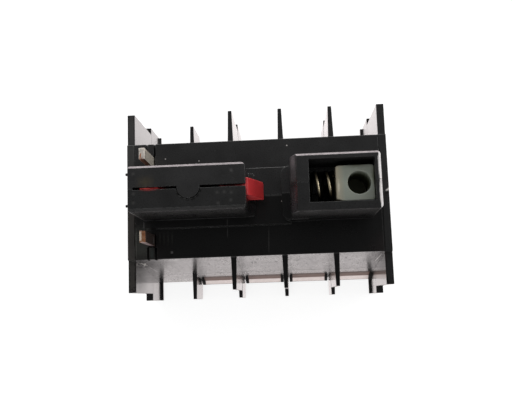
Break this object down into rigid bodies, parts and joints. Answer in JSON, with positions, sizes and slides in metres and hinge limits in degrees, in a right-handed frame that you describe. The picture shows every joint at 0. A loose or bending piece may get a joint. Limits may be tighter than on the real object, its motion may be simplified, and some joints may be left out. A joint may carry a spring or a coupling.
{
  "type": "auxiliary contact block",
  "caption": "Add-on auxiliary contact block shown on its mating face: coupling slider in a spring-loaded tower, red snap latch, coil blades and screw terminals between barrier fins.",
  "frame": {"origin": "centre of the screw face, which the block lies on, midway over the whole width and depth", "axes": "+Z out of the mating face, along the towers; +X across the screw columns, from the coil column to the coupling tower; +Y to the line side"},
  "size_m": [0.045, 0.0338, 0.0366],
  "materials": {
    "black_moulding": "satin black moulded nylon, finely textured, rubbed pale at the rims",
    "ivory_moulding": "satin ivory moulding",
    "carrier_moulding": "matt dark moulding",
    "red_moulding": "semi-gloss red moulding",
    "plated_copper": "tin-plated copper with bare cut edges",
    "contact_brass": "stamped brass",
    "contact_silver": "silver contact rivet",
    "zinc_steel": "zinc-plated steel",
    "clamp_steel": "yellow-brown passivated steel",
    "brassy_spring": "bright spring wire with a warm tint",
    "spring_steel": "bright spring wire"
  },
  "bodies": {
    "housing": {"shell_line_side": "black_moulding", "shell_load_side": "black_moulding", "terminal_base": "black_moulding", "coil_terminal_line": "plated_copper", "coil_terminal_load": "plated_copper", "fixed_contact_1_line": "contact_brass", "fixed_contact_1_load": "contact_brass", "fixed_contact_2_line": "contact_brass", "fixed_contact_2_load": "contact_brass", "fixed_contact_3_line": "contact_brass", "fixed_contact_3_load": "contact_brass", "fixed_contact_4_line": "contact_brass", "fixed_contact_4_load": "contact_brass", "fixed_contact_rivets": "contact_silver", "terminal_screws": "zinc_steel", "wire_clamp_coil_line": "clamp_steel", "wire_clamp_coil_load": "clamp_steel", "wire_clamp_1_line": "clamp_steel", "wire_clamp_1_load": "clamp_steel", "wire_clamp_2_line": "clamp_steel", "wire_clamp_2_load": "clamp_steel", "wire_clamp_3_line": "clamp_steel", "wire_clamp_3_load": "clamp_steel", "wire_clamp_4_line": "clamp_steel", "wire_clamp_4_load": "clamp_steel", "latch_spring": "spring_steel", "coupling_spring": "brassy_spring"},
    "carriage": {"coupling_slider": "ivory_moulding", "contact_carrier": "carrier_moulding", "contact_bridge_1": "contact_brass", "contact_bridge_2": "contact_brass", "contact_bridge_3": "contact_brass", "contact_bridge_4": "contact_brass", "contact_spring_1": "spring_steel", "contact_spring_2": "spring_steel", "contact_spring_3": "spring_steel", "contact_spring_4": "spring_steel", "bridge_rivets": "contact_silver"},
    "latch": {"latch_slide": "red_moulding"}
  },
  "joints": [
    {"name": "carriage_slide", "type": "slide", "parent": "housing", "child": "carriage", "axis": [-1, 0, 0], "range_m": [0, 0.003], "stiffness_N_per_m": 150, "springref_m": -0.006, "deforming": ["coupling_spring"]},
    {"name": "latch_travel", "type": "slide", "parent": "housing", "child": "latch", "axis": [-1, 0, 0], "range_m": [0, 0.001], "stiffness_N_per_m": 400, "springref_m": -0.004, "deforming": ["latch_spring"]}
  ]
}
